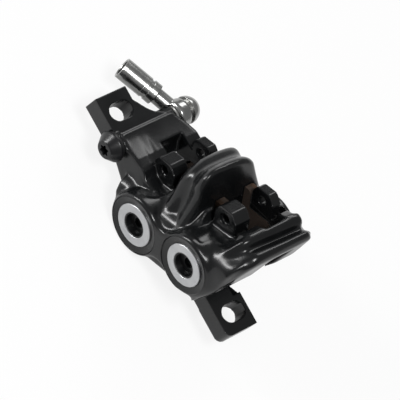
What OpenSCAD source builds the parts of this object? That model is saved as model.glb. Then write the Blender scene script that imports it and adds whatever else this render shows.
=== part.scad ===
// Four-piston bicycle disc brake caliper with slotted mounting ears.
// Origin: centre of the two ear slots, on the mounting plane under the ears.
// +X from the rear ear to the front ear, +Y from outboard to inboard, +Z towards the bolt heads.
// The castings and bores are drawn in a tilted core frame: u along the row of pistons, w away from the
// wheel axle, and y measured from the middle of the brake disc.

/* [Mounting] */
// Distance between the two ear slots
slot_spacing = 74.2; // [72:0.1:76]
// Width of each ear slot, for an M6 bolt
slot_w = 6.2; // [6.0:0.1:6.8]
// Length of each ear slot across the caliper
slot_len = 9.2; // [8:0.1:10]
// Thickness of the ears
ear_t = 7; // [6:0.5:9]
// Width of the ears across the caliper
ear_w = 13; // [12:0.5:16]
// Metal beyond the slot at the end of each ear
ear_end = 3.65; // [3:0.05:6]

/* [Core frame] */
// Tilt of the piston row to the mounting plane, in degrees
tilt_deg = 33.6; // [28:0.2:38]
// Middle of the piston row, along the ears
core_x = 7.4; // [5:0.1:10]
// Brake disc plane, measured inboard from the slot centres
core_y = 11.3; // [10:0.1:13]
// Middle of the piston row, above the mounting plane
core_z = 7.2; // [5:0.1:10]

/* [Pistons] */
// Piston diameter
piston_d = 16; // [15:0.5:17]
// Distance between the two bores of one side
bore_spacing = 23.6; // [22.5:0.1:25]
// Length of an outboard piston
piston_len_outboard = 10; // [6:0.5:11]
// Length of an inboard piston
piston_len_inboard = 5.7; // [5.2:0.1:6]
// Depth of the hollow in the fluid side of a piston
piston_cup = 2.2; // [1:0.1:2.4]
// Magnet diameter
magnet_d = 8; // [5:0.5:10]
// Magnet thickness
magnet_t = 2; // [1:0.1:2.4]
// Side of the square piston seal
seal_s = 1.5; // [1.2:0.1:1.8]

/* [Castings] */
// Outboard face of the bosses, from the disc plane
outboard_depth = 25; // [24:0.1:27]
// Inboard face of the casting, from the disc plane
inboard_depth = 15.6; // [15.2:0.1:18]
// Radius of the round bosses
boss_r = 11; // [10.8:0.1:12]
// Half width of the slot for the disc and the pads
disc_gap = 4.5; // [4:0.1:5]
// Radius of the slot roof about the wheel axle
disc_roof_r = 92; // [88:0.5:95]
// Distance from the piston row to the wheel axle
axle_drop = 80; // [76:0.5:84]
// Half width of the arch between the two windows
arch_half = 6; // [5.5:0.1:6.5]

/* [Pads] */
// Thickness of the friction block
friction_t = 2; // [1:0.1:2.4]
// Thickness of the backing plate
plate_t = 1.6; // [1.2:0.1:2]
// Gap between the pressed-back pads and the disc plane
pad_face = 4.6; // [4.2:0.1:5]
// Width of the friction block along the piston row
pad_len = 14; // [12:0.5:15]

/* [Pad pin lugs] */
// Distance between the pin holes of the two windows
lug_spacing = 28.8; // [27:0.1:30]
// Height of the pin holes above the piston row
lug_w = 14.9; // [14:0.1:16]
// Radius of a lug
lug_r = 4.7; // [4:0.1:5]
// Diameter of the hole for a pad pin
pin_hole_d = 3.2; // [2.8:0.1:3.6]

/* [Hose side] */
// Bleed screw, along the ears
bleed_x = -28; // [-29:0.1:-27]
// Bleed screw, above the mounting plane
bleed_z = 4; // [3.6:0.1:4.4]
// Banjo bolt, along the ears
banjo_x = -28.9; // [-29.2:0.1:-28]
// Banjo bolt, above the mounting plane
banjo_z = 2.2; // [2:0.1:3]
// Face of the hose port, inboard of the slot centres
port_y = 19.2; // [19:0.1:20]
// Radius of the eye of the banjo fitting
banjo_r = 5; // [4.6:0.1:5.2]
// Thickness of the eye
banjo_t = 5.4; // [5:0.1:6.5]
// Radius of the domed head of the banjo bolt
dome_r = 4.8; // [4:0.1:5]
// Distance from the banjo bolt to the open end of the crimp sleeve
hose_reach = 24; // [23:0.5:30]
// Direction of the hose in the mounting plane, in degrees towards the outboard side
hose_deg = 26; // [20:1:35]
// Outside radius of the crimp sleeve
sleeve_r = 3.75; // [3.5:0.05:4]

/* [Fits] */
// Radial clearance of a piston in its bore
piston_clear = 0.08; // [0.04:0.01:0.1]
// Clearance between a pad and its pocket
pad_clear = 0.3; // [0.2:0.05:0.4]

/* [Hidden] */
$fn = 64;
eps = 0.01;
// Longer than the caliper, for cutters and blanks
far = 80;

black = [0.09, 0.09, 0.10];
silver = [0.80, 0.81, 0.82];
phenolic = [0.42, 0.33, 0.26];
copper_brown = [0.36, 0.25, 0.19];
rubber = [0.05, 0.05, 0.05];
steel = [0.62, 0.62, 0.63];

// Signs of the four positions in the core frame: row (rear -1, front 1) and side (outboard -1, inboard 1).
rear = -1;
front = 1;
outboard = -1;
inboard = 1;

ear_x = slot_spacing / 2 + slot_w / 2 + ear_end;
ear_y0 = -7;
ear_y1 = ear_y0 + ear_w;
piston_r = piston_d / 2;
bore_r = piston_r + piston_clear;
bore_u = bore_spacing / 2;
lug_u = lug_spacing / 2;
pad_back = pad_face + friction_t + plate_t;
pocket_floor = pad_back + pad_clear;
seal_lip = 0.5;
seal_y = pocket_floor + seal_lip;
seal_r = piston_r + 0.05;
groove_r = seal_r + seal_s + 0.03;

// Places and directions.
module core() translate([core_x, core_y, core_z]) rotate([0, -tilt_deg, 0]) children();
// Extrudes a (u, w) outline along y.
module along_y(y0, y1) translate([0, y1, 0]) rotate([90, 0, 0]) linear_extrude(y1 - y0) children();
// Extrudes a (y, w) outline along u.
module along_u(u0, u1) translate([u0, 0, 0]) rotate([90, 0, 90]) linear_extrude(u1 - u0) children();
// Turns a profile of (radius, distance) about a line parallel to y, with distance measured away from the disc.
module turned(u, w, side) translate([u, 0, w]) rotate([-side * 90, 0, 0]) rotate_extrude() children();
module rod(u, w, r, y0, y1) translate([u, y1, w]) rotate([90, 0, 0]) cylinder(r = r, h = y1 - y0);

// Curves.
function bezier(p, n) = [for (i = [0:n]) let (t = i / n, s = 1 - t)
    s * s * s * p[0] + 3 * s * s * t * p[1] + 3 * s * t * t * p[2] + t * t * t * p[3]];
function unit(v) = v / norm(v);
// Moves each point of an open (y, w) path inwards by a distance.
function inset(path, d) = [for (i = [0:len(path) - 1])
    let (a = path[max(i - 1, 0)], b = path[min(i + 1, len(path) - 1)], t = unit(b - a))
    path[i] + d * [t[1], -t[0]]];
// Closed skin through rings of equal length, in order along u. Each end is closed by a fan about the point mid (y, w).
module skin(rings, mid) {
    n = len(rings[0]);
    m = len(rings);
    last = (m - 1) * n;
    side_faces = [for (j = [0:m - 2]) for (i = [0:n - 1]) for (k = [0, 1])
        k == 0 ? [j * n + i, j * n + (i + 1) % n, (j + 1) * n + i]
               : [(j + 1) * n + i, j * n + (i + 1) % n, (j + 1) * n + (i + 1) % n]];
    start_fan = [for (i = [0:n - 1]) [(i + 1) % n, i, m * n]];
    end_fan = [for (i = [0:n - 1]) [last + i, last + (i + 1) % n, m * n + 1]];
    centres = [for (r = [rings[0], rings[m - 1]]) [r[0][0], mid[0], mid[1]]];
    polyhedron(concat([for (r = rings) for (p = r) p], centres), concat(side_faces, start_fan, end_fan));
}

// Outline of two round bosses joined by a waist with fillets. Each fillet cuts a little into the bosses.
// The waist narrows with the bosses, so outlines of two radii stay apart all the way round.
waist_half = 6.3;
fillet_bite = 0.06;
module figure_eight(r) {
    waist = waist_half + r - boss_r;
    fillet = (bore_u * bore_u + waist * waist - r * r) / (2 * (r - waist));
    h = waist + fillet;
    k = r / (r + fillet);
    difference() {
        union() {
            for (s = [rear, front]) translate([s * bore_u, 0]) circle(r);
            square([2.1 * bore_u * (1 - k), 2 * h * k - 0.2], center = true);
        }
        for (s = [-1, 1]) translate([0, s * h]) circle(fillet + fillet_bite);
    }
}

// Outboard bosses: a rounded rim round each bore cap.
rim_round = 0.8;
inboard_boss_r = boss_r - 0.3;
module bosses() {
    along_y(-outboard_depth + rim_round, -disc_gap) figure_eight(boss_r);
    along_y(-outboard_depth, -outboard_depth + rim_round + eps) figure_eight(boss_r - rim_round / 2);
    along_y(disc_gap, inboard_depth - rim_round) figure_eight(inboard_boss_r);
    along_y(inboard_depth - rim_round - eps, inboard_depth) figure_eight(inboard_boss_r - rim_round / 2);
}

// Side outline of the casting above the bores, from the hose side to the front end.
shoulder_w = 13.2;
module side_outline() {
    polygon([[-25.4, 14.7], [-21.5, shoulder_w], [20, shoulder_w + 0.4], [25.5, 16.3], [31, 10], [24.0, -4.2],
        [bore_u, -boss_r + 1], [-bore_u, -boss_r + 1], [-bore_u - boss_r + 0.8, -3], [-23.2, 4]]);
}
// End outline of the casting: the outboard shoulder, the top and the rounded inboard shoulder.
module end_outline() {
    polygon(concat([[-outboard_depth + 2, -14], [-outboard_depth + 1.5, 4], [-23.3, 6], [-21.4, 8.5], [-20.1, 9.3],
        [-16.6, 11], [-13.3, 13.2], [-11, 22], [5, 22]],
        bezier([[7, 16.6], [9.6, 14], [12, 11.5], [inboard_depth - 1.1, 6]], 6),
        [[inboard_depth - 1.1, -14]]));
}
module cheeks() {
    intersection() {
        along_y(-outboard_depth, inboard_depth) side_outline();
        along_u(-far / 2, far / 2) end_outline();
    }
}

// Arch over the disc, with two rounded ridges and a groove between them. The rear ridge is the lower one.
front_ridge = concat(
    bezier([[-24.2, 5], [-20.5, 10], [-17.6, 13], [-16.4, 18]], 6),
    bezier([[-16.2, 19.5], [-15.8, 25], [-13, 27.6], [-8, 27.6]], 7),
    bezier([[-6, 27.5], [1, 27.3], [5.5, 26.6], [8.4, 23]], 7),
    bezier([[9, 21.8], [10.5, 18], [11.8, 14.5], [14.3, 9]], 5));
rear_ridge = concat(
    bezier([[-24.2, 5], [-20, 9], [-17, 12], [-15.6, 16.5]], 6),
    bezier([[-15, 18], [-14, 22], [-10, 23.6], [-7, 24.2]], 7),
    bezier([[-5, 24.5], [0, 24.6], [6.5, 24.2], [9, 22.2]], 7),
    bezier([[10, 20.8], [11.2, 18], [12.4, 14.5], [14.3, 9]], 5));
ridge_u = 3.7;
groove_depth = 1.1;
arch_edge = 1.7;
function arch_line(u) = let (t = (u + ridge_u) / (2 * ridge_u))
    [for (i = [0:len(front_ridge) - 1]) t * front_ridge[i] + (1 - t) * rear_ridge[i]];
function arch_drop(u) = groove_depth / 2 * (1 + cos(180 * min(abs(u), ridge_u) / ridge_u))
    + (abs(u) > arch_half - arch_edge
        ? arch_edge - sqrt(max(0, arch_edge * arch_edge - pow(abs(u) - arch_half + arch_edge, 2))) : 0);
module arch() {
    us = [for (i = [-8:8]) arch_half * sin(90 * i / 8)];
    skin([for (u = us) let (p = inset(arch_line(u), arch_drop(u)))
        concat([for (q = p) [u, q[0], q[1]]], [[u, inboard_depth - 2, 2], [u, -outboard_depth + 3, 2]])], [-3, 8]);
}

// Front bridge, square to the mounting plane, with two ribs across the caliper.
bridge_top = 35.2;
bridge_x0 = 19.8;
bridge_x1 = 29.6;
rib_r = 1.5;
module bridge() {
    intersection() {
        along_y(-16, 27) difference() {
            union() {
                polygon([[bridge_x0, 16], [bridge_x0, bridge_top - rib_r], [bridge_x0 + rib_r, bridge_top - 0.2],
                    [bridge_x1 - rib_r, bridge_top - 0.6], [bridge_x1 - 0.2, bridge_top - 2], [bridge_x1 + 0.4, 17],
                    [bridge_x1 - 1.6, 5.5]]);
                for (x = [bridge_x0 + rib_r, bridge_x1 - rib_r - 1]) translate([x, bridge_top - rib_r]) circle(rib_r);
            }
            translate([bridge_x0 + 4.8, bridge_top + 0.7]) circle(1.7);
        }
        rotate([90, 0, 90]) linear_extrude(far) polygon(concat(
            [[-13, 4]],
            bezier([[-12.5, 12], [-10.5, 24], [-7, 35.5], [1, 36]], 9),
            bezier([[18, 36], [22, 35.8], [23.4, 33], [25, 17]], 6),
            [[24, 10], [14, 4]]));
    }
}

// Slotted ears. The rear one widens into the hose-side shoulder.
ear_corner = 2.5;
shoulder_end = 21.6;
// Length of the machined mounting face under each ear, and how far the casting stands back round it
seat_len = 12.5;
seat_step = 0.3;
front_foot_x = 18.5;
// Rear end of the ears' plan above the seats
ear_plan_x = -40.5;
module ears() {
    linear_extrude(ear_t) {
        translate([-ear_x, ear_y0]) square([seat_len, ear_w]);
        difference() {
            translate([ear_x - seat_len, ear_y0]) square([seat_len, ear_w]);
            translate([ear_x - ear_corner, ear_y0 + ear_corner]) difference() {
                translate([0, -ear_corner - 1]) square(ear_corner + 1);
                circle(ear_corner);
            }
        }
    }
    translate([0, 0, seat_step]) linear_extrude(ear_t - seat_step) {
        translate([-ear_x + 1, ear_y0]) square([ear_x - 1 + bleed_x + 2.4, ear_w]);
        translate([front_foot_x, ear_y0]) square([ear_x - seat_len - front_foot_x + 1, ear_w]);
        polygon(concat([[-24, -3.3], [ear_plan_x, ear_y1 - 1], [ear_plan_x, ear_y1]],
            bezier([[-38.8, ear_y1], [-36.5, 8], [-34, 9], [-32.4, 11.4]], 4),
            bezier([[-31.6, 13], [-30.4, 16], [-29, 19.2], [-21, shoulder_end - 0.2]], 5),
            [[-14, shoulder_end], [-14, -5.9]]));
    }
}
module ear_slots() {
    half = (slot_len - slot_w) / 2;
    for (s = [-1, 1]) translate([s * slot_spacing / 2, 0, -1]) {
        for (y = [-half, half]) translate([0, y, 0]) cylinder(r = slot_w / 2, h = ear_t + 2);
        translate([-slot_w / 2, -half, 0]) cube([slot_w, 2 * half, ear_t + 2]);
    }
}
// Neck from the hose-side shoulder to the rear boss.
module neck() {
    hull() {
        translate([-27.2, -2.4, 2]) cube([10.8, 6, ear_t - 2]);
        translate([-17.4, -5.7, 2]) cube([1, 6, ear_t - 2.4]);
        core() rod(-bore_u - 0.5, 0, 8.6, -20, -16, $fn = 32);
    }
    // Flank from the bleed screw's seat to the rear boss
    hull() {
        cylinder_y(bleed_x + 0.6, bleed_z - 0.4, bleed_head_r - 1.9, ear_y0 + 0.6, 0, $fn = 32);
        core() rod(-bore_u, 0, boss_r - 1.6, -18, -15, $fn = 32);
    }
}
module bleed_and_hose_ports() {
    cylinder_y(bleed_x, bleed_z, bleed_head_r - 0.9, ear_y0, ear_y0 + 1.5);
    cylinder_y(banjo_x, banjo_z, port_r, 10, port_y);
}
module bleed_and_hose_holes() {
    cylinder_y(bleed_x, bleed_z, bleed_hole_r, ear_y0 - 1, bleed_depth + 0.5);
    cylinder_y(banjo_x, banjo_z, banjo_hole_r, port_y - bolt_thread - 0.5, port_y + 1);
    // Spot face for the eye of the banjo fitting
    cylinder_y(banjo_x, banjo_z, banjo_r + pad_clear, port_y, port_y + banjo_t);
}

// Pin lugs, each standing in a round relief.
relief_r = lug_r + 2.4;
relief_floor = lug_w - lug_r;
// Ends of the reliefs, outboard (a rounded end) and inboard
relief_reach = 16.5;
relief_inboard = 10.2;
lug_outer = 12;
lug_inner = 5.6;
lug_inboard = 4.4;
lug_thickness = 3.6;
lug_flat = 4.05;
lug_foot = 7;
pin_spot = 0.6;
pin_spot_depth = 0.8;
module lug_reliefs() {
    for (s = [rear, front]) intersection() {
        union() {
            rod(s * lug_u, lug_w, relief_r, -relief_reach, -disc_gap);
            translate([s * lug_u, -relief_reach, lug_w]) sphere(relief_r);
            rod(s * lug_u, lug_w, relief_r, disc_gap - 0.1, relief_inboard);
        }
        translate([-far / 2, -far / 2, relief_floor]) cube(far);
    }
}
module lug_outline() {
    difference() {
        circle(lug_r);
        translate([-lug_r, lug_flat]) square(2 * lug_r);
    }
    translate([-lug_r, -lug_w + lug_foot]) square([2 * lug_r, lug_w - lug_foot]);
    polygon([[0, -lug_w + lug_foot], [lug_r + 0.4, -lug_w + lug_foot], [lug_r + 0.4, 1.1], [2.3, lug_flat],
        [0, lug_flat]]);
}
module lugs() {
    for (s = [rear, front]) translate([s * lug_u, 0, lug_w]) {
        along_y(-lug_outer, -lug_inner) lug_outline();
        along_y(lug_inboard, lug_inboard + lug_thickness) lug_outline();
    }
}
module pin_holes() {
    for (s = [rear, front]) {
        rod(s * lug_u, lug_w, pin_hole_d / 2, -lug_outer - 1, lug_inboard + lug_thickness + 1);
        rod(s * lug_u, lug_w, pin_hole_d / 2 + pin_spot, -lug_outer - 1, -lug_outer + pin_spot_depth);
    }
}

// Space for the disc, the windows and the pad pockets.
window_top = 45;
window_floor = 6;
pocket_top = relief_floor - 1.2;
horn_w = 15.3;
pad_u0 = arch_half + pad_clear;
pad_u1 = pad_u0 + pad_len;
horn_u = lug_u - lug_r - pad_clear;
module disc_space() {
    // Disc slot with a round roof about the wheel axle
    rod(0, -axle_drop, disc_roof_r, -disc_gap, disc_gap);
    // Front window, back to the arch and forward to the bridge
    along_y(-disc_gap - 0.5, lug_inboard)
        polygon([[arch_half, window_floor], [20.5, window_floor], [25.9, 16.4], [26.5, window_top],
            [arch_half, window_top]]);
    // Rear window and its notch in the hose-side shoulder
    along_y(-disc_gap - 0.5, lug_inboard)
        polygon([[-arch_half, window_floor], [-arch_half, window_top], [-24.8, window_top], [-24.8, window_floor]]);
}
// Outline of a pad for the front window, with a horn beside the arch, grown by a clearance.
module pad_outline(grow, trim = 0) {
    bottom = -8.6 + trim - grow;
    top = pocket_top - pad_clear + grow;
    end = pad_u1 - trim + grow;
    polygon([[pad_u0 - grow, bottom], [end - 2, bottom], [end, bottom + 2], [end, top - 2], [end - 2, top],
        [horn_u + grow, top], [horn_u + grow, horn_w - 1 + grow], [horn_u - 1 + grow, horn_w + grow],
        [pad_u0 - grow, horn_w + grow]]);
}
module pad_pockets() {
    for (row = [rear, front], side = [outboard, inboard]) mirror_to(row, side) {
        along_y(disc_gap - 1, pocket_floor) pad_outline(pad_clear);
        along_y(disc_gap - 1, pocket_floor)
            translate([arch_half, -boss_r - 4]) square([pad_u1 + pad_clear - arch_half, boss_r + 4]);
    }
}
// Puts a shape drawn for the front inboard position at one of the four positions.
module mirror_to(row, side)
    mirror([row == rear ? 1 : 0, 0, 0]) mirror([0, side == outboard ? 1 : 0, 0]) children();

// Thinnest wall behind the inboard bores
bore_end_wall = 1.3;
body_floor = inboard_depth - bore_end_wall;
cap_r = 9.4;
cap_depth = 4.4;
cap_seat = 1.4;
cap_in = outboard_depth - cap_depth;
cap_mouth_r = boss_r - 0.9;
module bores() {
    for (s = [rear, front]) {
        rod(s * bore_u, 0, bore_r, -cap_in - 1, body_floor);
        // Threaded seat and dished mouth for the bore cap
        turned(s * bore_u, 0, outboard) polygon([[0, cap_in], [cap_r, cap_in], [cap_r, outboard_depth - cap_seat],
            [cap_mouth_r, outboard_depth - 0.3], [cap_mouth_r + 0.5, outboard_depth + 0.6], [0, outboard_depth + 0.6]]);
        // Seal grooves
        for (side = [outboard, inboard]) turned(s * bore_u, 0, side)
            translate([bore_r - 0.5, seal_y - 0.05]) square([groove_r - bore_r + 0.5, seal_s + 0.1]);
    }
}

module body() color(black) {
    difference() {
        union() {
            core() difference() {
                union() {
                    bosses();
                    cheeks();
                    arch();
                }
                lug_reliefs();
            }
            bridge();
            ears();
            neck();
            bleed_and_hose_ports();
            core() lugs();
        }
        core() {
            disc_space();
            pad_pockets();
            bores();
            pin_holes();
        }
        ear_slots();
        bleed_and_hose_holes();
    }
}

// Bore caps with a bright ring let into each, and an O-ring in a groove of the cap.
ring_ro = 7.45;
ring_ri = 4.45;
ring_t = 1.4;
cap_gap = 0.06;
cap_groove = 1.3;
o_ring_r = 0.55;
o_ring_y = cap_in + 1.2;
o_ring_major = cap_r - cap_gap - o_ring_r - 0.03;
module bore_cap(row) color(black) core() turned(row * bore_u, 0, outboard) {
    seat = outboard_depth - cap_seat;
    difference() {
        polygon([[0, cap_in + cap_gap], [cap_r - cap_gap, cap_in + cap_gap], [cap_r - cap_gap, seat],
            [cap_mouth_r - cap_gap, outboard_depth - 0.35], [cap_mouth_r - 0.3, outboard_depth - 0.2],
            [ring_ro + 0.05, seat + 0.6], [ring_ro + 0.05, seat - 0.2], [ring_ri - 0.05, seat - 0.2],
            [ring_ri - 0.05, seat + 0.9], [ring_ri - 0.5, seat + 0.9], [ring_ri - 0.9, seat - 1.2],
            [1.8, seat - 1.2], [1.8, seat - 2.2], [0, seat - 2.2]]);
        translate([o_ring_major - o_ring_r - 0.05, o_ring_y - cap_groove / 2]) square([3, cap_groove]);
    }
}
module cap_ring(row) color(silver) core() turned(row * bore_u, 0, outboard) {
    y0 = outboard_depth - cap_seat - 0.2;
    c = 0.15;
    polygon([[ring_ri, y0], [ring_ro, y0], [ring_ro, y0 + ring_t - c], [ring_ro - c, y0 + ring_t],
        [ring_ri + c, y0 + ring_t], [ring_ri, y0 + ring_t - c]]);
}
module cap_seal(row) color(rubber) core() turned(row * bore_u, 0, outboard)
    translate([o_ring_major, o_ring_y]) circle(o_ring_r, $fn = 24);

// Phenolic pistons, hollow on the fluid side, with a magnet in the face that holds the pad.
module piston(row, side) color(phenolic) core() turned(row * bore_u, 0, side) {
    back = pad_back + (side == outboard ? piston_len_outboard : piston_len_inboard);
    wall = 2.4;
    c = 0.4;
    polygon([[0, pad_back + magnet_t + 0.1], [magnet_d / 2 + 0.05, pad_back + magnet_t + 0.1],
        [magnet_d / 2 + 0.05, pad_back], [piston_r - c, pad_back], [piston_r, pad_back + c],
        [piston_r, back - c], [piston_r - c, back], [piston_r - wall, back],
        [piston_r - wall, back - piston_cup], [0, back - piston_cup]]);
}
module magnet(row, side) color(steel) core() turned(row * bore_u, 0, side)
    translate([0, pad_back + 0.1]) square([magnet_d / 2, magnet_t]);
module piston_seal(row, side) color(rubber) core() turned(row * bore_u, 0, side)
    translate([seal_r, seal_y]) square([seal_s, seal_s]);

// Pads: a steel plate with its friction block, one in each of the four pockets.
module plate(row, side) color(copper_brown) core() mirror_to(row, side)
    along_y(pad_face + friction_t, pad_back) pad_outline(0);
module friction(row, side) color(copper_brown) core() mirror_to(row, side)
    along_y(pad_face, pad_face + friction_t) pad_outline(0, 0.5);

// Bleed screw with a tapered head and a six-lobe socket.
bleed_head_r = 5.3;
bleed_head_l = 4.1;
bleed_tip_r = 3.3;
bleed_shank_r = 2.4;
bleed_hole_r = bleed_shank_r + 0.05;
bleed_depth = -0.5;
bleed_seal_t = 0.5;
lobe_ring = 1.5;
lobe_r = 0.55;
// Round bar along Y in the mounting frame.
module cylinder_y(x, z, r, y0, y1) translate([x, y1, z]) rotate([90, 0, 0]) cylinder(r = r, h = y1 - y0);
module bleed_screw() color(black) {
    y0 = ear_y0 - bleed_seal_t - 0.05;
    difference() {
        translate([bleed_x, y0, bleed_z]) rotate([90, 0, 0]) rotate_extrude() polygon([[0, 0], [bleed_head_r - 0.4, 0],
            [bleed_head_r, 0.4], [bleed_head_r, 1.1], [bleed_tip_r, bleed_head_l - 0.3],
            [bleed_tip_r - 0.3, bleed_head_l], [0, bleed_head_l]]);
        cylinder_y(bleed_x, bleed_z, lobe_ring, y0 - bleed_head_l - 1, y0 - bleed_head_l + 2);
        for (i = [0:5]) cylinder_y(bleed_x + lobe_ring * cos(60 * i), bleed_z + lobe_ring * sin(60 * i), lobe_r,
            y0 - bleed_head_l - 1, y0 - bleed_head_l + 2);
    }
    cylinder_y(bleed_x, bleed_z, bleed_shank_r, y0 - 0.1, bleed_depth);
}
module bleed_seal() color(rubber) difference() {
    cylinder_y(bleed_x, bleed_z, bleed_head_r - 0.5, ear_y0 - bleed_seal_t, ear_y0);
    cylinder_y(bleed_x, bleed_z, bleed_hole_r, ear_y0 - 1, ear_y0 + 1);
}

// Banjo fitting: an eye between two washers, a neck, a collar and the crimp sleeve for the hose.
bolt_r = 2.5;
bolt_thread = 5;
port_r = 3.8;
port_clear = 0.4;
banjo_hole_r = bolt_r + 0.05;
washer_t = 0.6;
washer_r = 3.9;
run_gap = 0.05;
eye_y0 = port_y + washer_t + run_gap;
eye_y1 = eye_y0 + banjo_t;
eye_y = (eye_y0 + eye_y1) / 2;
neck_r = 2.8;
collar_r = sleeve_r + 0.05;
collar_0 = 9.85;
collar_1 = 12.6;
groove_1 = 13.7;
barb_r = 1.2;
hose_hole_r = 2.9;
module hose_line() translate([banjo_x, eye_y, banjo_z]) rotate([0, 0, 180 + hose_deg]) rotate([0, 90, 0]) children();
module washer(y0) difference() {
    cylinder_y(banjo_x, banjo_z, washer_r, y0, y0 + washer_t);
    cylinder_y(banjo_x, banjo_z, banjo_hole_r, y0 - 1, y0 + washer_t + 1);
}
module banjo_fitting() color(steel) difference() {
    union() {
        edge = 1.6;
        translate([banjo_x, eye_y, banjo_z]) rotate([90, 0, 0]) rotate_extrude() polygon(concat(
            [[0, -banjo_t / 2]],
            [for (a = [-90:30:0]) [banjo_r - edge + edge * cos(a), -banjo_t / 2 + edge + edge * sin(a)]],
            [for (a = [0:30:90]) [banjo_r - edge + edge * cos(a), banjo_t / 2 - edge + edge * sin(a)]],
            [[0, banjo_t / 2]]));
        hose_line() {
            cylinder(r = neck_r, h = collar_0);
            translate([0, 0, collar_0 - 0.1]) cylinder(r = collar_r, h = collar_1 - collar_0 + 0.1);
            cylinder(r = barb_r, h = hose_reach - 2);
        }
    }
    cylinder_y(banjo_x, banjo_z, bolt_r + 0.08, eye_y0 - 5, eye_y1 + 5);
    // The neck is cut back where it passes the port
    cylinder_y(banjo_x, banjo_z, port_r + port_clear, eye_y0 - 5, eye_y0);
}
module banjo_bolt() color(steel) difference() {
    y_head = eye_y1 + run_gap + washer_t;
    union() {
        cylinder_y(banjo_x, banjo_z, bolt_r, port_y - bolt_thread, y_head + 0.5);
        intersection() {
            translate([banjo_x, y_head, banjo_z]) sphere(dome_r);
            cylinder_y(banjo_x, banjo_z, dome_r + 1, y_head, y_head + dome_r + 1);
        }
    }
    cylinder_y(banjo_x, banjo_z, 2.3, y_head + dome_r - 2, y_head + dome_r + 1, $fn = 6);
}
module banjo_washer_inner() color(silver) washer(port_y);
module banjo_washer_outer() color(silver) washer(eye_y1 + run_gap);
module crimp_sleeve() color(steel) hose_line() difference() {
    union() {
        translate([0, 0, collar_1]) cylinder(r = sleeve_r - 0.35, h = groove_1 - collar_1 + 0.1);
        translate([0, 0, groove_1]) cylinder(r = sleeve_r, h = hose_reach - groove_1);
    }
    translate([0, 0, groove_1]) cylinder(r = hose_hole_r, h = hose_reach);
    translate([0, 0, collar_1 - 1]) cylinder(r = barb_r + 0.02, h = hose_reach);
}

body();
bore_cap(rear);  // bore_cap_rear
bore_cap(front);  // bore_cap_front
cap_ring(rear);  // cap_ring_rear
cap_ring(front);  // cap_ring_front
cap_seal(rear);  // cap_seal_rear
cap_seal(front);  // cap_seal_front
piston(rear, outboard);  // piston_rear_outboard
piston(front, outboard);  // piston_front_outboard
piston(rear, inboard);  // piston_rear_inboard
piston(front, inboard);  // piston_front_inboard
piston_seal(rear, outboard);  // piston_seal_rear_outboard
piston_seal(front, outboard);  // piston_seal_front_outboard
piston_seal(rear, inboard);  // piston_seal_rear_inboard
piston_seal(front, inboard);  // piston_seal_front_inboard
magnet(rear, outboard);  // magnet_rear_outboard
magnet(front, outboard);  // magnet_front_outboard
magnet(rear, inboard);  // magnet_rear_inboard
magnet(front, inboard);  // magnet_front_inboard
plate(rear, outboard);  // plate_rear_outboard
plate(front, outboard);  // plate_front_outboard
plate(rear, inboard);  // plate_rear_inboard
plate(front, inboard);  // plate_front_inboard
friction(rear, outboard);  // friction_rear_outboard
friction(front, outboard);  // friction_front_outboard
friction(rear, inboard);  // friction_rear_inboard
friction(front, inboard);  // friction_front_inboard
bleed_screw();
bleed_seal();
banjo_fitting();
banjo_bolt();
banjo_washer_inner();
banjo_washer_outer();
crimp_sleeve();
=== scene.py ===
# %% [markdown]
# A bicycle disc brake caliper
#
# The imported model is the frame: every piece has its real size and place there. This script gives each
# visible piece its finish and its softened, forged or turned shape, around that frame and in the same
# metres.

# %% Load the frame
import math

import bmesh
import bpy
import numpy as np
from mathutils import Matrix, Vector


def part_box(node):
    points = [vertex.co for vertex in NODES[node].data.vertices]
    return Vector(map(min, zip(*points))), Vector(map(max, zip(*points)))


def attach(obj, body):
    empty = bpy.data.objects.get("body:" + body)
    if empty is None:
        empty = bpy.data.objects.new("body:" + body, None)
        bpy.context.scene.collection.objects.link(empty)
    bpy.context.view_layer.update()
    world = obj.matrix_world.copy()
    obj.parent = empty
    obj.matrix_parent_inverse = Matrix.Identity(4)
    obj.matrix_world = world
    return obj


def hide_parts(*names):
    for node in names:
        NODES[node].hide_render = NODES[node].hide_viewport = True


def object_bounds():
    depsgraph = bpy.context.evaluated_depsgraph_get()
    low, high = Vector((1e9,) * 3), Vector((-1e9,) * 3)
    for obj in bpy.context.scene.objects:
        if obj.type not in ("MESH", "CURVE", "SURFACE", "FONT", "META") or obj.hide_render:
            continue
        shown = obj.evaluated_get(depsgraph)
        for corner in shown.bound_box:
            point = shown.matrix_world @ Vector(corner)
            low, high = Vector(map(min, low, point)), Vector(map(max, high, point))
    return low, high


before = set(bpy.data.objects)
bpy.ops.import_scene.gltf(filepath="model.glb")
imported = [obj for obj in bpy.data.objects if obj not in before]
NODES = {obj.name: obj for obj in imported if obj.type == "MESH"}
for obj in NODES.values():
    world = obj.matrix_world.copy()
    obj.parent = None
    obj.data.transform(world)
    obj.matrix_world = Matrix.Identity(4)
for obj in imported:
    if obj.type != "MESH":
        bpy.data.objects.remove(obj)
cad_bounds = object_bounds()
MM = 0.001

# %% [markdown]
# The row of pistons is tilted to the mounting plane. The bores are round and lie along Y, so the middle of
# a piston's box is the middle of its bore, and the line through two bores gives the tilt. Sizes below are
# then in millimetres, with u along the row, y from the disc plane towards the inboard side, and w away from
# the wheel axle.


# %% Find the core frame
def middle(node):
    low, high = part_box(node)
    return (low + high) / 2


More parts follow.
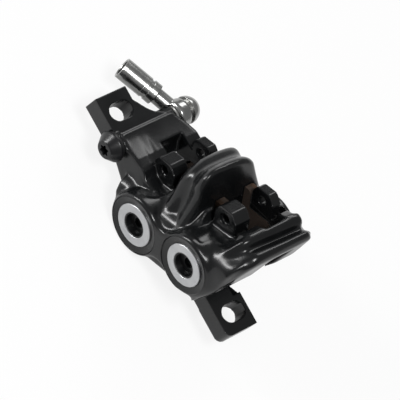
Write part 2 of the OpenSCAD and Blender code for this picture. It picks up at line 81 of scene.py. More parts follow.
rear_bore = middle("piston_rear_outboard")
front_bore = middle("piston_front_outboard")
bore_u = (front_bore - rear_bore).length / 2 / MM
u_axis = (front_bore - rear_bore).normalized()
w_axis = u_axis.cross(Vector((0, 1, 0)))
core_origin = (rear_bore + front_bore) / 2
core_origin.y = (middle("friction_front_outboard").y + middle("friction_front_inboard").y) / 2
CORE = Matrix((
    (u_axis.x, 0, w_axis.x, core_origin.x),
    (u_axis.y, 1, w_axis.y, core_origin.y),
    (u_axis.z, 0, w_axis.z, core_origin.z),
    (0, 0, 0, 1)))
PART_MM = Matrix.Scale(MM, 4)
CORE_MM = CORE @ PART_MM
tilt = math.degrees(math.atan2(u_axis.z, u_axis.x))
print(f"bores {2 * bore_u:.1f} mm apart, row tilted {tilt:.1f} degrees")

# %% [markdown]
# Colours are written as sRGB hex values, and one function turns them to the linear values that shaders use.
# One function adds a node with its settings and links.


# %% Colour and node helpers
def linear(hex_colour):
    """An sRGB hex value as the linear colour that a shader takes."""
    values = [int(hex_colour[i:i + 2], 16) / 255 for i in (1, 3, 5)]
    return [v / 12.92 if v <= 0.04045 else ((v + 0.055) / 1.055) ** 2.4 for v in values] + [1.0]


def add_node(tree, kind, settings=None, stops=(), **inputs):
    """Adds a node. Settings are attributes, and stops are a colour ramp's positions, each with a hex colour
    or a grey. An input goes by its name, or by i and its number, and is a value or a node's output."""
    node = tree.nodes.new(kind)
    for name, value in (settings or {}).items():
        setattr(node, name, value)
    for index, (position, value) in enumerate(stops):
        element = node.color_ramp.elements[index]
        element.position = position
        element.color = linear(value) if isinstance(value, str) else (value, value, value, 1)
    for name, value in inputs.items():
        numbered = name[0] == "i" and name[1:].isdigit()
        socket = node.inputs[int(name[1:]) if numbered else name.replace("_", " ")]
        if isinstance(value, bpy.types.NodeSocket):
            tree.links.new(value, socket)
        else:
            socket.default_value = value
    return node


def new_material(name):
    material = bpy.data.materials.new(name)
    material.use_nodes = True
    tree = material.node_tree
    return material, tree, tree.nodes["Principled BSDF"]


print("linear value of a middle grey:", round(linear("#808080")[0], 3))

# %% [markdown]
# A mesh here comes from points and faces, in millimetres, and one matrix puts it in its place in metres. A
# prism is an outline pushed straight up, and a turned piece is a profile swept round an axis, as on a real
# lathe.


# %% Make an object from points
def make_object(name, mesh):
    piece = bpy.data.objects.new(name, mesh)
    bpy.context.scene.collection.objects.link(piece)
    return piece


def from_points(name, points, faces, matrix=PART_MM):
    mesh = bpy.data.meshes.new(name)
    mesh.from_pydata([matrix @ Vector(p) for p in points], [], faces)
    bm = bmesh.new()
    bm.from_mesh(mesh)
    bmesh.ops.recalc_face_normals(bm, faces=bm.faces)
    bm.to_mesh(mesh)
    bm.free()
    return make_object(name, mesh)


# %% Prism and lathe
def prism(name, outline, low, high, matrix=PART_MM):
    """An outline of (x, y) points, pushed along Z from one height to another and closed."""
    n = len(outline)
    points = [(across, up, height) for height in (low, high) for across, up in outline]
    faces = [list(range(n)), list(range(2 * n - 1, n - 1, -1))]
    faces += [[i, (i + 1) % n, n + (i + 1) % n, n + i] for i in range(n)]
    return from_points(name, points, faces, matrix)


def lathe(name, profile, matrix, segments=96, closed=False):
    """Sweeps a profile of (radius, height) round the Z axis of matrix. Radius 0 at an end closes it."""
    points, rows = [], []
    turns = [2 * math.pi * i / segments for i in range(segments)]
    for r, h in profile:
        if r == 0:
            rows.append([len(points)])
            points.append((0, 0, h))
        else:
            rows.append(list(range(len(points), len(points) + segments)))
            points += [(r * math.cos(a), r * math.sin(a), h) for a in turns]
    pairs = list(zip(rows, rows[1:])) + ([(rows[-1], rows[0])] if closed else [])
    faces = []
    for a, b in pairs:
        for i in range(segments):
            j = (i + 1) % segments
            if len(a) == 1:
                faces.append([a[0], b[j], b[i]])
            elif len(b) == 1:
                faces.append([a[i], a[j], b[0]])
            else:
                faces.append([a[i], a[j], b[j], b[i]])
    return from_points(name, points, faces, matrix)


def cylinder(name, matrix, radius, low, high, segments=96):
    return lathe(name, [(0, low), (radius, low), (radius, high), (0, high)], matrix, segments)


def along(origin, direction):
    """A matrix whose Z axis runs along a direction from a point, both in the part frame, in millimetres."""
    turn = Vector((0, 0, 1)).rotation_difference(Vector(direction).normalized()).to_matrix().to_4x4()
    return Matrix.Translation(Vector(origin) * MM) @ turn @ PART_MM


# %% [markdown]
# Most work on a finished mesh is a modifier that is applied at once: a boolean joins or cuts, a voxel
# remesh covers a solid with small even faces, and smoothing moves each point towards its neighbours. The
# Manifold solver is quick, and asks for closed meshes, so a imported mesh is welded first.


# %% Apply, join and cut
def apply_modifiers(piece):
    graph = bpy.context.evaluated_depsgraph_get()
    mesh = bpy.data.meshes.new_from_object(piece.evaluated_get(graph))
    piece.modifiers.clear()
    piece.data = mesh


def boolean(piece, other, operation="DIFFERENCE"):
    """Joins the other object to the piece or cuts it out of it, and removes the other object."""
    before = len(piece.data.polygons)
    modifier = piece.modifiers.new("cut", "BOOLEAN")
    modifier.operation = operation
    modifier.solver = "MANIFOLD"
    modifier.object = other
    apply_modifiers(piece)
    if len(piece.data.polygons) == before:
        print(f"{piece.name}: {other.name} changed nothing")
    bpy.data.objects.remove(other)


# %% Even faces and smoothing
def voxel_remesh(piece, voxel_mm):
    modifier = piece.modifiers.new("remesh", "REMESH")
    modifier.mode = "VOXEL"
    modifier.voxel_size = voxel_mm * MM


def smooth(piece, name, iterations, weights=None):
    """Adds smoothing. Weights from 0 to 1, one for each point, say how far it may move each time."""
    modifier = piece.modifiers.new(name, "SMOOTH")
    modifier.factor = 0.5
    modifier.iterations = iterations
    if weights is not None:
        group = piece.vertex_groups.new(name=name)
        for index in np.nonzero(weights)[0]:
            group.add([int(index)], float(weights[index]), "REPLACE")
        modifier.vertex_group = group.name


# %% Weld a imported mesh
def welded_copy(node_name, name):
    """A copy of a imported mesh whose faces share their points, so that it is one closed skin."""
    mesh = NODES[node_name].data.copy()
    bm = bmesh.new()
    bm.from_mesh(mesh)
    bmesh.ops.remove_doubles(bm, verts=bm.verts, dist=1e-6)
    open_edges = sum(1 for edge in bm.edges if len(edge.link_faces) != 2)
    bm.to_mesh(mesh)
    bm.free()
    print(f"{name}: {open_edges} open edges after welding")
    return make_object(name, mesh)


# %% [markdown]
# A piece is finished in the same way each time. It is shaded smooth with its machined edges kept sharp,
# gets one material, rides on the body that carries it, and hides the nodes of the frame that it stands for.


# %% Finishing helpers
def shade(piece, angle=32):
    """Smooth shading, with an edge kept sharp where its faces meet at more than the angle in degrees."""
    for polygon in piece.data.polygons:
        polygon.use_smooth = True
    piece.data.set_sharp_from_angle(angle=math.radians(angle))


def finish_piece(piece, material, body, nodes):
    """Gives a piece its material and body, and hides the nodes that it stands for."""
    piece.data.materials.clear()
    piece.data.materials.append(material)
    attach(piece, body)
    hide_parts(*nodes)
    print(f"{piece.name}: {len(piece.data.polygons)} faces")


# %% [markdown]
# The photograph's view could be matched by eye, but the two ear slots are a known distance apart, and that
# fixes a long-lens camera about 1.1 m away. Its axes are written as unit vectors: the picture's right, its
# up, and the line of sight.

# %% Set the camera
SIGHT = Vector((-0.0755, 0.5897, -0.8041)).normalized()
RIGHT = Vector((0.4858, 0.7260, 0.4868))
RIGHT = (RIGHT - SIGHT * RIGHT.dot(SIGHT)).normalized()
UP = RIGHT.cross(SIGHT)
CAMERA_AT = Vector((0.08351, -0.64107, 0.89456))
SENSOR_MM = 36
FOCAL_MM = 307.74
camera_data = bpy.data.cameras.new("camera")
camera_data.sensor_width = SENSOR_MM
camera_data.lens = FOCAL_MM
camera = bpy.data.objects.new("camera", camera_data)
camera.matrix_world = Matrix.Translation(CAMERA_AT) @ Matrix((RIGHT, UP, -SIGHT)).transposed().to_4x4()
bpy.context.scene.collection.objects.link(camera)
bpy.context.scene.camera = camera
print("camera distance:", round(CAMERA_AT.length, 3), "m")

# %% [markdown]
# A product picture on white has a pale floor that the eye hardly sees, but that still holds a soft shadow.
# More light would do it too, and would wash the object out. So the floor keeps a pale colour and a part of
# a plain white glow is mixed over it, most of it for the camera only and a little for what mirrors the
# floor.


# %% Make the floor
FLOOR_GAP = 0.0002
FLOOR_HALF = 3.0
SEEN_GLOW = 0.85
MIRRORED_GLOW = 0.1


def add_white(tree, lit_shader, seen_share, mirrored_share):
    """Mixes a plain white glow over a shader, by one share for the camera and by another for mirrors."""
    rays = add_node(tree, "ShaderNodeLightPath")
    seen = add_node(tree, "ShaderNodeMath", {"operation": "MAXIMUM"},
                    i0=rays.outputs["Is Camera Ray"], i1=rays.outputs["Is Transmission Ray"])
    seen_part = add_node(tree, "ShaderNodeMath", {"operation": "MULTIPLY"}, i0=seen.outputs[0], i1=seen_share)
    mirrored = add_node(tree, "ShaderNodeMath", {"operation": "MULTIPLY"},
                        i0=rays.outputs["Is Glossy Ray"], i1=mirrored_share)
    part = add_node(tree, "ShaderNodeMath", {"operation": "MAXIMUM"},
                    i0=seen_part.outputs[0], i1=mirrored.outputs[0])
    glow = add_node(tree, "ShaderNodeEmission", Color=(1, 1, 1, 1), Strength=1.0)
    return add_node(tree, "ShaderNodeMixShader", i0=part.outputs[0], i1=lit_shader, i2=glow.outputs[0])


floor_z = cad_bounds[0][2] - FLOOR_GAP
signs = ((-1, -1), (1, -1), (1, 1), (-1, 1))
corners = [(across * FLOOR_HALF, along_y * FLOOR_HALF, floor_z) for across, along_y in signs]
floor = from_points("floor", corners, [(0, 1, 2, 3)], Matrix.Identity(4))
floor_material, tree, shader = new_material("pale_studio_floor")
shader.inputs["Base Color"].default_value = linear("#ECECEC")
shader.inputs["Roughness"].default_value = 0.9
mixed = add_white(tree, shader.outputs[0], SEEN_GLOW, MIRRORED_GLOW)
tree.links.new(mixed.outputs[0], tree.nodes["Material Output"].inputs[0])
floor.data.materials.append(floor_material)
print("floor at", round(floor_z / MM, 2), "mm")

# %% [markdown]
# Black, curved metal shows hardly more than what it mirrors, so the lamps are large, soft shapes that stand
# where its curves look: one beside the camera, one at the left for the crests, and a wide dim one beyond
# the top of the picture for the sloping shoulder. A dim white world fills the rest.

# %% Light it
WORLD_STRENGTH = 0.3
LAMP_DISTANCE = 1.0
world = bpy.data.worlds.new("studio")
bpy.context.scene.world = world
world.use_nodes = True
world.node_tree.nodes["Background"].inputs[0].default_value = linear("#FFFFFF")
world.node_tree.nodes["Background"].inputs[1].default_value = WORLD_STRENGTH


def soft_lamp(name, right, up, toward, size, watts):
    """A rectangular lamp in a direction given by the picture's right and up and by the way to the camera."""
    direction = (RIGHT * right + UP * up - SIGHT * toward).normalized()
    lamp = bpy.data.lights.new(name, "AREA")
    lamp.shape = "RECTANGLE"
    lamp.size, lamp.size_y = size
    lamp.energy = watts
    holder = bpy.data.objects.new(name, lamp)
    holder.location = direction * LAMP_DISTANCE
    holder.rotation_euler = direction.to_track_quat("Z", "Y").to_euler()
    bpy.context.scene.collection.objects.link(holder)
    print(f"lamp {name}: {watts} W, {size[0]} by {size[1]} m")


soft_lamp("camera_side", 0.36, 0.06, 0.92, (0.26, 0.26), 6)
soft_lamp("left_strip", -0.62, 0.62, 0.4, (0.16, 0.6), 7)
soft_lamp("top_wide", 0.45, 0.86, 0.02, (0.45, 0.3), 2.0)
bpy.context.scene.view_settings.view_transform = "Standard"

# %% [markdown]
# No finish on this object is quite even. Each has two close colours in soft clouds, a shine that varies
# with them, and a fine grain in relief. Image textures could carry that, but noise that is measured in real
# millimetres needs no file and no unwrapping. So one function makes them all, and each finish gives it its
# own sizes.


# %% Two colours, a shine and a grain
NOISE_RANGE = (0.3, 0.7)


def grained(name, colours, roughness, clouds, grain, relief):
    """Clouds and grain are a noise's blob size in millimetres and its detail. Roughness is its value at the
    first colour and at the second. Relief is the grain's strength and its depth in millimetres."""
    material, tree, shader = new_material(name)
    place = add_node(tree, "ShaderNodeTexCoord").outputs["Object"]
    soft, fine = [add_node(tree, "ShaderNodeTexNoise", Vector=place, Scale=1 / (size_mm * MM), Detail=detail)
                  for size_mm, detail in (clouds, grain)]
    tint = add_node(tree, "ShaderNodeValToRGB", stops=zip(NOISE_RANGE, colours), Fac=soft.outputs[0])
    tree.links.new(tint.outputs[0], shader.inputs["Base Color"])
    if roughness[0] == roughness[1]:
        shader.inputs["Roughness"].default_value = roughness[0]
    else:
        shine = add_node(tree, "ShaderNodeValToRGB", stops=zip(NOISE_RANGE, roughness), Fac=soft.outputs[0])
        tree.links.new(shine.outputs[0], shader.inputs["Roughness"])
    strength, depth_mm = relief
    if strength:
        dents = add_node(tree, "ShaderNodeBump",
                         Height=fine.outputs[0], Strength=strength, Distance=depth_mm * MM)
        tree.links.new(dents.outputs[0], shader.inputs["Normal"])
    print("finish:", name)
    return material, shader


# %% [markdown]
# Most of this object is black hard-anodised aluminium. The oxide is a clear, very thin, dyed glassy layer
# on a blasted forging, so it is made as a nearly black dielectric with a soft shine, and not as a dark
# metal, which would tint its highlights. The blasted grain is about a tenth of a millimetre on the real
# caliper, and is drawn twice as coarse or more, because it wouldn't show otherwise.


# %% Dark oxide skins
def oxide_skin(name, dark, light, roughness, grain_mm, strength):
    shine = (roughness - 0.04, roughness + 0.05)
    material, shader = grained(name, (dark, light), shine, (9.0, 3), (grain_mm, 2), (strength, 0.05))
    shader.inputs["IOR"].default_value = 1.5
    shader.inputs["Specular IOR Level"].default_value = 0.4
    return material


# Hard anodising on the blasted forging: soft-edged highlights on the crests, and hardly any colour.
forged_black = oxide_skin("black_anodised_forging", "#0B0C0D", "#111213", 0.22, 0.25, 0.03)
# The same layer on the turned caps: a little rougher and blacker, so that the silver rings stand out from it.
turned_black = oxide_skin("black_anodised_turning", "#0A0B0C", "#0F1011", 0.28, 0.2, 0.04)
# Black oxide on the steel bleed screw: a slightly greyer black, which tells it from the casting.
black_oxide = oxide_skin("black_oxide_steel", "#0E0E10", "#141416", 0.3, 0.2, 0.04)

# %% [markdown]
# Bare and plated metals take their colour from the base colour, and keep the default IOR. What tells them
# apart is how dark they are and how blurred their mirror images are. Where one has a grain, it is drawn about
# five times as coarse as the real one, which is finer than a tenth of a millimetre.


# %% Bare and plated metals
def metal(name, dark, light, roughness, grain_mm=0.6, strength=0.15):
    shine = (roughness - 0.03, roughness + 0.04)
    material, shader = grained(name, (dark, light), shine, (4.0, 4), (grain_mm, 3), (strength, 0.05))
    shader.inputs["Metallic"].default_value = 1.0
    return material


# Blasted aluminium under clear anodising: pale grey and almost without a mirror image, as the rings are.
ring_silver = metal("clear_anodised_aluminium", "#B4B5B7", "#C2C3C4", 0.42, 0.5, 0.03)
# Stainless steel, turned and tumbled to a satin: long, clear highlights along ball, neck and sleeve.
fitting_steel = metal("satin_stainless_steel", "#9A9B9A", "#A8A8A6", 0.25, 0.5, 0)
# A soft alloy that has been pressed flat: a dull silver edge on both sides of the eye.
washer_alloy = metal("soft_washer_alloy", "#A8A8A6", "#BABAB8", 0.4)
# Nickel on the magnets: a slightly yellow silver, deep in the pistons.
nickel = metal("nickel_plating", "#B0ADA6", "#C0BDB6", 0.3)
# Stamped steel with a thin copper plating that has browned: the warm edge that shows in both windows.
copper_plate = metal("copper_plated_steel", "#4A3B31", "#5B493D", 0.5, 0.5, 0.05)

# %% [markdown]
# Friction compound, phenolic resin and rubber scatter the light. They need no mirror image, only their
# colour, a wide dull sheen and a grain, and here the colour follows the grain itself. The grit of the
# compound is about half a millimetre and keeps that size. The grain of the rubber is drawn coarser than
# it is.


# %% Matte materials
def matte(name, dark, light, roughness, grain_mm, strength):
    grain = (grain_mm, 5)
    return grained(name, (dark, light), (roughness, roughness), grain, grain, (strength, 0.1))[0]


# Moulded compound with fibres and grit: dark brown, speckled and dead matte.
friction_brown = matte("moulded_friction_compound", "#2A2019", "#3C2E24", 0.8, 0.5, 0.4)
# Machined phenolic resin: a lighter brown with a faint shine.
phenolic_brown = matte("machined_phenolic", "#5A4230", "#6B5140", 0.55, 0.4, 0.2)
# Moulded rubber: the dull black ring under the bleed screw, darker than any metal beside it.
seal_rubber = matte("moulded_rubber", "#0C0C0C", "#121212", 0.6, 0.3, 0.2)

# %% [markdown]
# The real body is forged, so every edge of it is soft, and then milled, so the bores, mouths and slots are
# crisp. It could be modelled by hand over a control cage, but would then drift from the real sizes. So it
# is made here in the real order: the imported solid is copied, its bores are filled, a voxel remesh turns it
# into even small faces, smoothing rounds it as a forging die does, and the machined cuts are then made
# again.

# %% Fill the bores and cover the forging with even faces
VOXEL_MM = 0.3
# Each plug is its radius and its two ends, measured from the disc plane. The boss faces are at 25 mm. What
# is left of the seal grooves round the plugs is closed off, and the remesh fills it. Nothing shows there:
# the pistons cover it.
CAP_PLUG = (10.6, 15, 24.99)
OUTBOARD_PLUG = (8.6, 8.6, 24.9)
INBOARD_PLUG = (8.6, 8.6, 15.5)
OUTBOARD, INBOARD = -1, 1


def bore_matrix(side, direction):
    """Z runs from the disc plane outboard or inboard, on the axis of the rear bore (-1) or the front (1)."""
    origin = CORE @ Vector((side * bore_u * MM, 0, 0))
    return along(origin / MM, (0, direction, 0))


body = welded_copy("body", "caliper_body")
for side in (-1, 1):
    for plug, direction in ((CAP_PLUG, OUTBOARD), (OUTBOARD_PLUG, OUTBOARD), (INBOARD_PLUG, INBOARD)):
        boolean(body, cylinder("plug", bore_matrix(side, direction), *plug), "UNION")
voxel_remesh(body, VOXEL_MM)
apply_modifiers(body)
print("forging:", len(body.data.vertices), "points")

# %% [markdown]
# How much a point is smoothed depends on where it is. The lugs, the ears and all that is close to the disc
# plane get a little, which breaks their edges. The bosses, the arch and the shoulders get a lot, and
# the front bridge and its foot get the most. So each point gets weights from 0 to 1, blended over a
# millimetre or more, which leaves no line between the regions. Only at the arch's two sides they change
# at once, because the windows have crisp edges there anyway.


# %% Read the points and blend between regions
def point_values(mesh, what):
    """Each point's place (co) or normal, as one row of three numbers."""
    values = np.empty(len(mesh.vertices) * 3)
    mesh.vertices.foreach_get(what, values)
    return values.reshape(-1, 3)


def smooth_step(value, low, high):
    """0 below the low value, 1 above the high one, and an S-shaped rise between them."""
    t = np.clip((value - low) / (high - low), 0, 1)
    return t * t * (3 - 2 * t)


places = point_values(body.data, "co")
to_core = np.array(CORE_MM.inverted())
u, y, w = (places @ to_core[:3, :3].T + to_core[:3, 3]).T
x, part_y, z = (places / MM).T
print(f"part from {x.min():.1f} to {x.max():.1f} mm along, up to {z.max():.1f} mm high")

# %% Weigh the regions
LUG_U, LUG_W = 14.4, 14.9
ARCH_HALF = 6.2
# A weight that is smaller than this counts as none.
LEAST = 0.01
# Round each lug's axis, and only where the lug stands clear of the boss below it.
to_lug = np.minimum(np.hypot(u - LUG_U, w - LUG_W), np.hypot(u + LUG_U, w - LUG_W))
near_lug = 1 - smooth_step(to_lug, 5.2, 6.6)
near_lug *= smooth_step(w, 10.0, 11.5)
# On both sides of the disc plane, apart from the arch that crosses over it.
near_disc = 1 - smooth_step(np.abs(y), 5.0, 6.5)
near_disc *= 1 - smooth_step(w, 19, 21) * (np.abs(u) < ARCH_HALF)
# The rear ear, then the front one on the inboard side of its root.
on_ear = smooth_step(-x, 28, 31) * (1 - smooth_step(z, 8.5, 12))
on_ear += smooth_step(x, 22, 26) * smooth_step(part_y, -9, -8) * (1 - smooth_step(z, 7.2, 8.5))
soft = (1 - near_lug) * (1 - near_disc) * (1 - on_ear)

# The front end: its outboard shoulder, the bridge that rises from it and the foot below.
above_foot = smooth_step(z, 7.5, 10)
shoulder = smooth_step(x, 14, 18) * (1 - smooth_step(y, -10, -8)) * (1 - smooth_step(z, 26, 30))
shoulder *= above_foot
bridge = smooth_step(x, 18, 22) * smooth_step(z, 12, 20) * (1 - 0.4 * smooth_step(y, -6, 0))
foot = smooth_step(x, 21, 24) * (1 - smooth_step(part_y, -9.5, -8)) * (1 - smooth_step(z, 9, 12))
flow = np.maximum(np.maximum(shoulder, bridge) * (1 - near_lug), foot)
print(f"smoothed as a forging: {(soft > 0.5).mean():.0%} of the points")
print(f"smoothed once more: {(flow > 0.5).mean():.0%}")

# %% Smooth the forging
smooth(body, "broken_edges", 2)
smooth(body, "forged_forms", 40, soft)
smooth(body, "front_flow", 90, np.where(flow > LEAST, flow, 0))
apply_modifiers(body)

# %% [markdown]
# Three forms of the real casting are too soft to come from hard-edged solids, and are pressed into the
# points themselves. The first is the hose-side shoulder, which steps up from the rear ear and then slopes
# up gently to the rear lugs.

# %% Raise the hose-side shoulder
STEP_MM = 0.5
SLOPE_MM = 1.2
SLOPE_FROM_X = 29.3
SLOPE_LENGTH = 9.3
places = point_values(body.data, "co")
x, y, z = places.T / MM
run = np.clip((x + SLOPE_FROM_X) / SLOPE_LENGTH, 0, 1)
lift = STEP_MM * smooth_step(x, -30.4, -29.2) + SLOPE_MM * run ** 1.5
lift *= smooth_step(z, 4.5, 6.6) * (1 - smooth_step(z, 8.5, 10.5)) * (1 - smooth_step(x, -17, -12))
places[:, 2] += lift * MM
print(f"shoulder raised by up to {lift.max():.2f} mm")

# %% [markdown]
# The second is a smooth hollow, which leaves two ribs on the front bridge. It runs from the outboard
# shoulder up and over the top. Cutting it with a boolean leaves ragged ends, so points are pressed in
# towards a line inside the bridge instead, and only those of its outer skin. Angles are in degrees round
# that line, with 0 straight up and negative on the outboard side.

# %% Press the hollow between the two ribs
HEART_Y, HEART_Z = 5.0, 18.0
HOLLOW_OUTBOARD_X, HOLLOW_INBOARD_X = 22.8, 25.2
HOLLOW_DEPTH, HOLLOW_WIDTH = 1.6, 1.4
HOLLOW_FIRST, HOLLOW_SPAN = 66, 124
normals = point_values(body.data, "normal")
angle = np.degrees(np.arctan2(y - HEART_Y, z - HEART_Z))
outward = np.stack([np.zeros_like(angle), np.sin(np.radians(angle)), np.cos(np.radians(angle))], axis=1)
facing = smooth_step((normals * outward).sum(axis=1), 0.1, 0.5)
share = np.clip((angle + HOLLOW_FIRST) / HOLLOW_SPAN, 0, 1)
off_line = x - HOLLOW_OUTBOARD_X - (HOLLOW_INBOARD_X - HOLLOW_OUTBOARD_X) * share
press = HOLLOW_DEPTH * np.exp(-(off_line / HOLLOW_WIDTH) ** 2)
press *= facing * smooth_step(angle, -58, -18) * (1 - smooth_step(angle, 50, 68))
places -= outward * (press * MM)[:, None]
body.data.vertices.foreach_set("co", places.ravel())
body.data.update()
print(f"hollow pressed up to {press.max():.2f} mm deep")

# %% [markdown]
# The third is where the ribs end. On the real casting they melt into the outboard shoulder, so those points
# are smoothed once more.

# %% Melt the ends of the ribs
rib_ends = smooth_step(x, 14, 18) * (1 - smooth_step(angle, -40, -15)) * smooth_step(z, 7.5, 10)
rib_ends *= 1 - near_lug
smooth(body, "rib_ends", 80, np.where(rib_ends > LEAST, rib_ends, 0))
apply_modifiers(body)
print("melted:", int((rib_ends > 0.5).sum()), "points")

# %% [markdown]
# Now the machining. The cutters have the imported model's own sizes, in millimetres, except for the bores,
# which are 0.02 mm wider in radius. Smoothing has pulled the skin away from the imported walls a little, so
# the cuts also bring the slots, mouths and holes back to their true size, with crisp edges.

# %% Cut the ear slots
SLOT_SPACING = 74.2
SLOT_R = 3.1
SLOT_HALF = 1.5
EAR_T = 7.0
for side in (-1, 1):
    half = [(SLOT_R * math.cos(a), SLOT_HALF + SLOT_R * math.sin(a)) for a in np.linspace(0, math.pi, 33)]
    outline = half + [(-across, -up) for across, up in half]
    outline = [(side * SLOT_SPACING / 2 + across, up) for across, up in outline]
    boolean(body, prism("slot_cutter", outline, -1, EAR_T + 1))
print("slots:", SLOT_SPACING, "mm apart")

# %% Cut the bores, the cap mouths and the pin holes
BORE_R = 8.1
BORE_END = 14.3
CAP_IN = 20.6
CAP_R = 9.4
CAP_SEAT = 23.6
PIN_R = 1.6
PIN_SPOT_R = 2.2
PIN_SPOT_AT = 11.2
PIN_FROM, PIN_TO = -9, 13
# The mouth is dished: it is 10.1 mm in radius just below the boss face and opens to 10.6 mm above it.
mouth = [(0, CAP_IN), (CAP_R, CAP_IN), (CAP_R, CAP_SEAT), (10.1, 24.7), (10.6, 25.6), (0, 25.6)]
for side in (-1, 1):
    boolean(body, lathe("mouth_cutter", mouth, bore_matrix(side, OUTBOARD), 128))
    boolean(body, cylinder("bore_cutter", bore_matrix(side, OUTBOARD), BORE_R, 0, CAP_IN + 0.5))
    boolean(body, cylinder("bore_cutter", bore_matrix(side, INBOARD), BORE_R, 0, BORE_END))
    pin = along((CORE @ Vector((side * LUG_U * MM, 0, LUG_W * MM))) / MM, (0, OUTBOARD, 0))
    boolean(body, cylinder("pin_cutter", pin, PIN_R, PIN_FROM, PIN_TO, 32))
    boolean(body, cylinder("pin_cutter", pin, PIN_SPOT_R, PIN_SPOT_AT, PIN_TO, 48))
shade(body)
finish_piece(body, forged_black, "caliper", ["body"])

# %% [markdown]
# The banjo is one forged and turned piece: a ball with a bored eye, a neck that flows into it, and a
# collar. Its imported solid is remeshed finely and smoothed, which gives the fillet between ball and neck
# without any new outline. The bolt's dome is softened in the same way, with less smoothing, because its
# edges are turned.


# %% Melt the fitting and its bolt
FITTING_VOXEL_MM = 0.12


def melt(node_name, name, iterations):
    """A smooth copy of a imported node's mesh, through a fine voxel remesh."""
    piece = welded_copy(node_name, name)
    voxel_remesh(piece, FITTING_VOXEL_MM)
    smooth(piece, "relax", iterations)
    apply_modifiers(piece)
    shade(piece, 60)
    return piece


ball_and_neck = melt("banjo_fitting", "banjo_ball_and_neck", 14)
finish_piece(ball_and_neck, fitting_steel, "hose_fitting", ["banjo_fitting"])
bolt_dome = melt("banjo_bolt", "banjo_bolt_dome", 6)
finish_piece(bolt_dome, fitting_steel, "caliper", ["banjo_bolt"])

# %% [markdown]
# The crimp sleeve is a turned tube that holds the hose on the banjo's barb. Smoothing would wash its small
# steps out, so it is turned anew from a profile, which gives its broken edges, a fine groove near the
# collar and its thin open lip. All of it runs round the line from the middle of the banjo's eye to the
# middle of the sleeve.

# %% Turn the crimp sleeve
SLEEVE_R = 3.75
SLEEVE_IN = 2.9
BARB_R = 1.22
COLLAR_END = 12.6
STEP_END = 13.7
MOUTH = 24.0
eye = middle("banjo_bolt")
eye.y = (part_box("banjo_washer_inner")[1].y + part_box("banjo_washer_outer")[0].y) / 2
toward_hose = middle("crimp_sleeve") - eye
toward_hose.z = 0
at_collar = [(BARB_R, COLLAR_END), (SLEEVE_R - 0.35, COLLAR_END), (SLEEVE_R - 0.35, STEP_END)]
first_edge = [(SLEEVE_R - 0.08, STEP_END), (SLEEVE_R, STEP_END + 0.08)]
groove = [(SLEEVE_R, STEP_END + 1.2), (SLEEVE_R - 0.07, STEP_END + 1.27),
          (SLEEVE_R - 0.07, STEP_END + 1.45), (SLEEVE_R, STEP_END + 1.52)]
lip = [(SLEEVE_R, MOUTH - 0.15), (SLEEVE_R - 0.15, MOUTH),
       (SLEEVE_IN + 0.3, MOUTH), (SLEEVE_IN + 0.02, MOUTH - 0.28)]
inside = [(SLEEVE_IN, STEP_END + 0.3), (SLEEVE_IN - 0.3, STEP_END), (BARB_R, STEP_END)]
sleeve_profile = at_collar + first_edge + groove + lip + inside
sleeve = lathe("crimp_sleeve_shell", sleeve_profile, along(eye / MM, toward_hose), 128, closed=True)
shade(sleeve, 35)
finish_piece(sleeve, fitting_steel, "hose_fitting", ["crimp_sleeve"])

# %% [markdown]
# The bleed screw has a turned, tapered head with broken edges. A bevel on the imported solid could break
# them too, but a profile whose corners are rounded before it is swept gives the same edge all round. The
# key fits a socket with six lobes, which is cut with an outline whose radius follows a cosine: six waves
# in one turn.


# %% Turn the bleed screw
def round_corners(profile, radius, steps=4):
    """Replaces each inner corner of an open profile by a small curve, no longer than its sides allow."""
    result = [Vector(profile[0])]
    for before, corner, after in zip(profile, profile[1:], profile[2:]):
        before, corner, after = Vector(before), Vector(corner), Vector(after)
        reach = min(radius, (before - corner).length * 0.45, (after - corner).length * 0.45)
        start = corner + (before - corner).normalized() * reach
        end = corner + (after - corner).normalized() * reach
        for k in range(steps + 1):
            t = k / steps
            result.append(start * (1 - t) ** 2 + corner * 2 * t * (1 - t) + end * t * t)
    result.append(Vector(profile[-1]))
    return [tuple(p) for p in result]


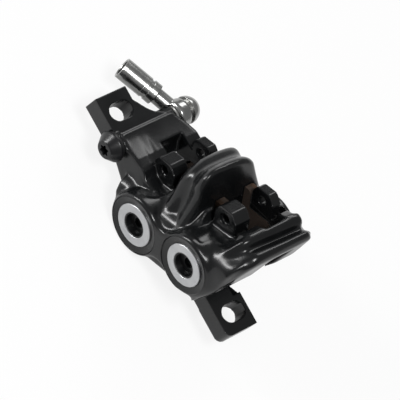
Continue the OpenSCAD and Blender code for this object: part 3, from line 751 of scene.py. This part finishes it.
TIP_R = 3.3
SHANK_R = 2.4
HEAD_LENGTH = 4.1
screw_low, screw_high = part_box("bleed_screw")
head_at = Vector(((screw_low.x + screw_high.x) / 2, screw_low.y, (screw_low.z + screw_high.z) / 2))
head_r = (screw_high.x - screw_low.x) / 2 / MM
shank_end = (screw_high.y - screw_low.y) / MM
screw_profile = round_corners([
    (0, 0.0), (TIP_R - 0.25, 0.0), (TIP_R, 0.28), (head_r, HEAD_LENGTH - 1.1), (head_r, HEAD_LENGTH - 0.4),
    (head_r - 0.4, HEAD_LENGTH), (SHANK_R, HEAD_LENGTH), (SHANK_R, shank_end), (0, shank_end)], 0.3)
screw_matrix = along(head_at / MM, (0, 1, 0))
screw = lathe("bleed_screw_head", screw_profile, screw_matrix)
print(f"head {2 * head_r:.1f} mm wide, screw {shank_end:.1f} mm long")

# %% Cut its socket
SOCKET_R, LOBE_R, LOBES = 1.72, 0.32, 6
SOCKET_DEPTH = 2.0
turns = np.linspace(0, 2 * math.pi, 73)[:-1]
radii = [SOCKET_R + LOBE_R * math.cos(LOBES * t) for t in turns]
socket = [(r * math.cos(t), r * math.sin(t)) for r, t in zip(radii, turns)]
boolean(screw, prism("socket_cutter", socket, -0.5, SOCKET_DEPTH, screw_matrix))
shade(screw, 35)
finish_piece(screw, black_oxide, "bleed", ["bleed_screw"])

# %% [markdown]
# All other pieces are plain turned, stamped or moulded shapes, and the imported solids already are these
# shapes. They only get their finishes, by the first words of their names. A longer name comes before a
# shorter one that it starts with, so a piston's seal isn't taken for a piston.

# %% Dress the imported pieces
FINISHES = {
    "bore_cap": turned_black, "cap_ring": ring_silver, "cap_seal": seal_rubber, "piston_seal": seal_rubber,
    "piston": phenolic_brown, "magnet": nickel, "plate": copper_plate, "friction": friction_brown,
    "bleed_screw": black_oxide, "bleed_seal": seal_rubber, "banjo_fitting": fitting_steel,
    "banjo_bolt": fitting_steel, "banjo_washer": washer_alloy, "crimp_sleeve": fitting_steel}
dressed = 0
for name, node in NODES.items():
    for start, material in FINISHES.items():
        if name.startswith(start):
            node.data.materials.clear()
            node.data.materials.append(material)
            dressed += 1
            break
print("dressed:", dressed, "nodes")
